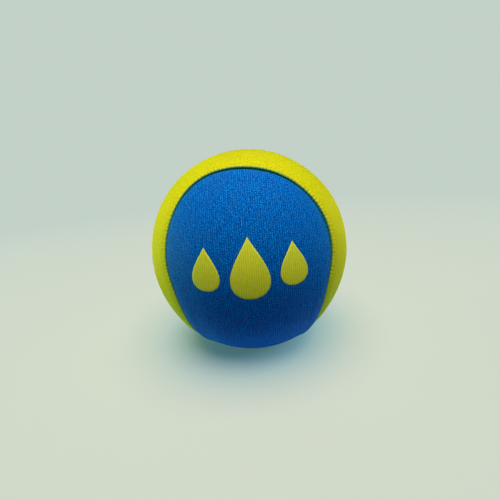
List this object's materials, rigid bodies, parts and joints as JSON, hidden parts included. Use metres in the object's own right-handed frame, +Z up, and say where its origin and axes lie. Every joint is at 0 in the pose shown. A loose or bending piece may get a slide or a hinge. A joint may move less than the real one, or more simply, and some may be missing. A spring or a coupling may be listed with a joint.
{
  "type": "water bouncing ball",
  "caption": "Soft gel-core ball in an interlocking blue and lime stretch-knit cover with a curved sewn seam; it floats and skips across water.",
  "frame": {"origin": "centre of the ball", "axes": "+Z up, away from the surface that the ball rests on; -Y towards the front lobe of the blue panel; +X to the right, towards a lobe of the lime panel"},
  "size_m": [0.056, 0.0561, 0.0555],
  "materials": {
    "gel": "soft translucent moulded gel, slightly tacky",
    "blue_knit": "royal-blue stretch knit with fine wales and a heathered sheen",
    "lime_knit": "lime stretch knit with a fine grain and a soft sheen",
    "needle_thread": "navy polyester sewing thread",
    "bobbin_thread": "olive polyester sewing thread",
    "closing_thread": "dark green polyester sewing thread",
    "print_ink": "lime elastic screen-print ink, matt, with the knit showing through"
  },
  "bodies": {
    "root": {"gel_core": "gel", "blue_panel": "blue_knit", "lime_panel": "lime_knit", "needle_thread": "needle_thread", "bobbin_thread": "bobbin_thread", "closing_thread": "closing_thread", "front_print": "print_ink"}
  },
  "joints": []
}
